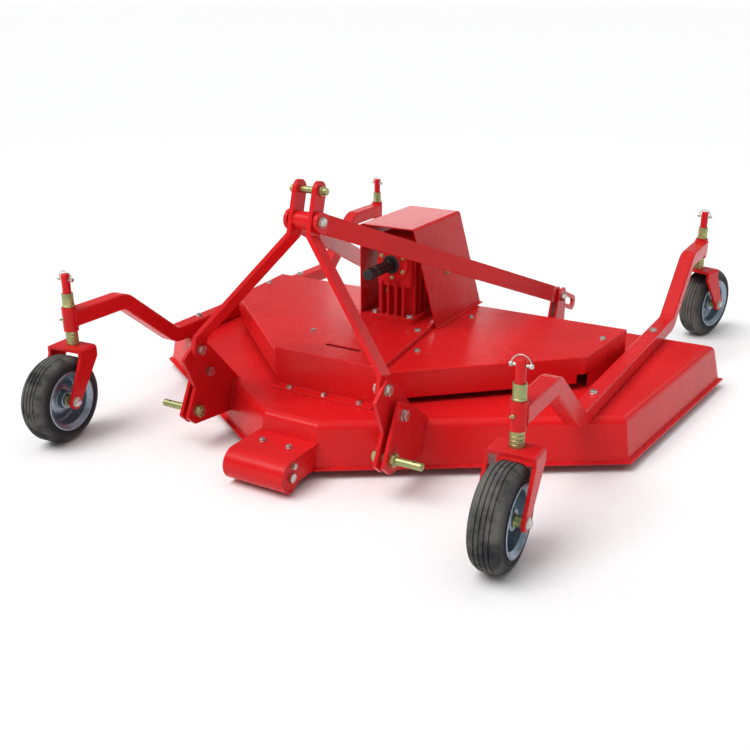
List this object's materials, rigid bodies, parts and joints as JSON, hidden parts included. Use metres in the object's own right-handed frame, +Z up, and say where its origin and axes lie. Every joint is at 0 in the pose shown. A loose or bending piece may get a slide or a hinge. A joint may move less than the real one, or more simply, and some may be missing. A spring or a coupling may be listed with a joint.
{
  "type": "rear-mounted finish mower",
  "caption": "Tractor-mounted rotary mower: pressed deck on casters, hitch mast with braces, belt covers, shielded gearbox, roller and blades beneath.",
  "frame": {"origin": "on the ground, under the middle of the machine's overall box", "axes": "-Y towards the tractor, +Z up, +X to the right of someone on the tractor looking back at the machine; right in a node name means +X"},
  "size_m": [1.852, 2.2342, 0.79],
  "materials": {
    "red_paint": "gloss red enamel over pressed and welded steel",
    "zinc_plate": "bright zinc plate, slightly dulled",
    "yellow_zinc": "yellow passivated zinc",
    "galvanised_rim": "galvanised pressed steel, blue-grey",
    "tyre_rubber": "solid rubber, dusty",
    "belt_rubber": "wrapped V-belt",
    "blade_steel": "heat-treated blade steel, ground edges",
    "cast_iron": "machined cast iron, dark",
    "black_steel": "oiled black steel"
  },
  "bodies": {
    "chassis": {"deck_shell": "red_paint", "side_rail_left": "red_paint", "side_rail_right": "red_paint", "caster_sleeves": "red_paint", "rail_bolts": "zinc_plate", "housing_bolts": "zinc_plate", "centre_housing": "red_paint", "belt_cover_left": "red_paint", "belt_cover_right": "red_paint", "gearbox_case": "red_paint", "gearbox_bolts": "zinc_plate", "gearbox_shield": "red_paint", "hitch_plates": "red_paint", "hitch_bolts": "zinc_plate", "lower_hitch_pins": "zinc_plate", "rear_lugs": "red_paint", "roller_hood": "red_paint", "roller_shaft": "zinc_plate", "spindle_housings": "cast_iron", "idler_posts": "blade_steel", "drive_belt": "belt_rubber"},
    "mast": {"mast_arm_left": "red_paint", "mast_arm_right": "red_paint", "mast_bolt": "zinc_plate", "top_link_pin": "zinc_plate"},
    "brace_left": {"rear_brace_left": "red_paint"},
    "brace_right": {"rear_brace_right": "red_paint"},
    "roller": {"front_roller": "red_paint"},
    "input_shaft": {"input_shaft": "black_steel"},
    "drive_pulley": {"drive_pulley": "cast_iron"},
    "idler_arm": {"idler_arm": "blade_steel"},
    "idler_right": {"idler_right": "cast_iron"},
    "idler_left": {"idler_left": "cast_iron"},
    "blades_left": {"blade_spindle_left": "cast_iron", "blade_left": "blade_steel"},
    "blades_centre": {"blade_spindle_centre": "cast_iron", "blade_centre": "blade_steel"},
    "blades_right": {"blade_spindle_right": "cast_iron", "blade_right": "blade_steel"},
    "caster_front_left": {"caster_fork_front_left": "red_paint", "stem_hardware_front_left": "yellow_zinc", "wheel_axle_front_left": "zinc_plate"},
    "wheel_front_left": {"tyre_front_left": "tyre_rubber", "rim_front_left": "galvanised_rim"},
    "caster_front_right": {"caster_fork_front_right": "red_paint", "stem_hardware_front_right": "yellow_zinc", "wheel_axle_front_right": "zinc_plate"},
    "wheel_front_right": {"tyre_front_right": "tyre_rubber", "rim_front_right": "galvanised_rim"},
    "caster_rear_left": {"caster_fork_rear_left": "red_paint", "stem_hardware_rear_left": "yellow_zinc", "wheel_axle_rear_left": "zinc_plate"},
    "wheel_rear_left": {"tyre_rear_left": "tyre_rubber", "rim_rear_left": "galvanised_rim"},
    "caster_rear_right": {"caster_fork_rear_right": "red_paint", "stem_hardware_rear_right": "yellow_zinc", "wheel_axle_rear_right": "zinc_plate"},
    "wheel_rear_right": {"tyre_rear_right": "tyre_rubber", "rim_rear_right": "galvanised_rim"}
  },
  "joints": [
    {"name": "mast_tilt", "type": "hinge", "parent": "chassis", "child": "mast", "pos_m": [0, -0.82, 0.304], "axis": [1, 0, 0], "range_deg": [0, 22]},
    {"name": "brace_left_swing", "type": "hinge", "parent": "mast", "child": "brace_left", "pos_m": [0, -0.70685, 0.686], "axis": [1, 0, 0], "range_deg": [-20.3, 0]},
    {"name": "brace_right_swing", "type": "hinge", "parent": "mast", "child": "brace_right", "pos_m": [0, -0.70685, 0.686], "axis": [1, 0, 0], "range_deg": [-20.3, 0]},
    {"name": "roller_spin", "type": "hinge", "parent": "chassis", "child": "roller", "pos_m": [0, -0.944, 0.052], "axis": [1, 0, 0], "continuous": true},
    {"name": "blade_centre_spin", "type": "hinge", "parent": "chassis", "child": "blades_centre", "pos_m": [0, -0.49, 0.07], "axis": [0, 0, 1], "continuous": true},
    {"name": "blade_left_spin", "type": "hinge", "parent": "chassis", "child": "blades_left", "pos_m": [-0.54, -0.03, 0.07], "axis": [0, 0, 1], "continuous": true},
    {"name": "blade_right_spin", "type": "hinge", "parent": "chassis", "child": "blades_right", "pos_m": [0.54, -0.03, 0.07], "axis": [0, 0, 1], "continuous": true},
    {"name": "drive_pulley_spin", "type": "hinge", "parent": "chassis", "child": "drive_pulley", "pos_m": [0, -0.14, 0.205], "axis": [0, 0, 1], "continuous": true},
    {"name": "input_shaft_spin", "type": "hinge", "parent": "chassis", "child": "input_shaft", "pos_m": [0, -0.14, 0.459], "axis": [0, 1, 0], "continuous": true},
    {"name": "idler_left_spin", "type": "hinge", "parent": "chassis", "child": "idler_left", "pos_m": [-0.195, -0.095, 0.205], "axis": [0, 0, 1], "continuous": true},
    {"name": "idler_arm_swing", "type": "hinge", "parent": "chassis", "child": "idler_arm", "pos_m": [0.275, -0.175, 0.17], "axis": [0, 0, -1], "range_deg": [0, 12], "stiffness_Nm_per_rad": 60, "springref_deg": -11.46},
    {"name": "idler_right_spin", "type": "hinge", "parent": "idler_arm", "child": "idler_right", "pos_m": [0.195, -0.095, 0.205], "axis": [0, 0, 1], "continuous": true},
    {"name": "swivel_front_left", "type": "hinge", "parent": "chassis", "child": "caster_front_left", "pos_m": [-0.707, -0.91, 0.356], "axis": [0, 0, 1], "continuous": true},
    {"name": "wheel_spin_front_left", "type": "hinge", "parent": "caster_front_left", "child": "wheel_front_left", "pos_m": [-0.70163, -0.98681, 0.13], "axis": [-0.9976, -0.0698, 0], "continuous": true},
    {"name": "swivel_front_right", "type": "hinge", "parent": "chassis", "child": "caster_front_right", "pos_m": [0.707, -0.91, 0.356], "axis": [0, 0, 1], "continuous": true},
    {"name": "wheel_spin_front_right", "type": "hinge", "parent": "caster_front_right", "child": "wheel_front_right", "pos_m": [0.71022, -0.98693, 0.13], "axis": [-0.9991, -0.0419, 0], "continuous": true},
    {"name": "swivel_rear_left", "type": "hinge", "parent": "chassis", "child": "caster_rear_left", "pos_m": [-0.707, 0.91, 0.356], "axis": [0, 0, 1], "continuous": true},
    {"name": "wheel_spin_rear_left", "type": "hinge", "parent": "caster_rear_left", "child": "wheel_rear_left", "pos_m": [-0.69099, 0.98532, 0.13], "axis": [0.9781, -0.2079, 0], "continuous": true},
    {"name": "swivel_rear_right", "type": "hinge", "parent": "chassis", "child": "caster_rear_right", "pos_m": [0.707, 0.91, 0.356], "axis": [0, 0, 1], "continuous": true},
    {"name": "wheel_spin_rear_right", "type": "hinge", "parent": "caster_rear_right", "child": "wheel_rear_right", "pos_m": [0.72951, 0.98364, 0.13], "axis": [0.9563, -0.2924, 0], "continuous": true}
  ],
  "couplings": [
    {"joint": "brace_left_swing", "follows": "mast_tilt", "ratio": -0.9201},
    {"joint": "brace_right_swing", "follows": "mast_tilt", "ratio": -0.9201},
    {"joint": "blade_left_spin", "follows": "blade_centre_spin", "ratio": 1},
    {"joint": "blade_right_spin", "follows": "blade_centre_spin", "ratio": 1},
    {"joint": "drive_pulley_spin", "follows": "blade_centre_spin", "ratio": 0.5},
    {"joint": "input_shaft_spin", "follows": "blade_centre_spin", "ratio": -0.26},
    {"joint": "idler_left_spin", "follows": "blade_centre_spin", "ratio": -1.1739},
    {"joint": "idler_right_spin", "follows": "blade_centre_spin", "ratio": -1.1739}
  ]
}
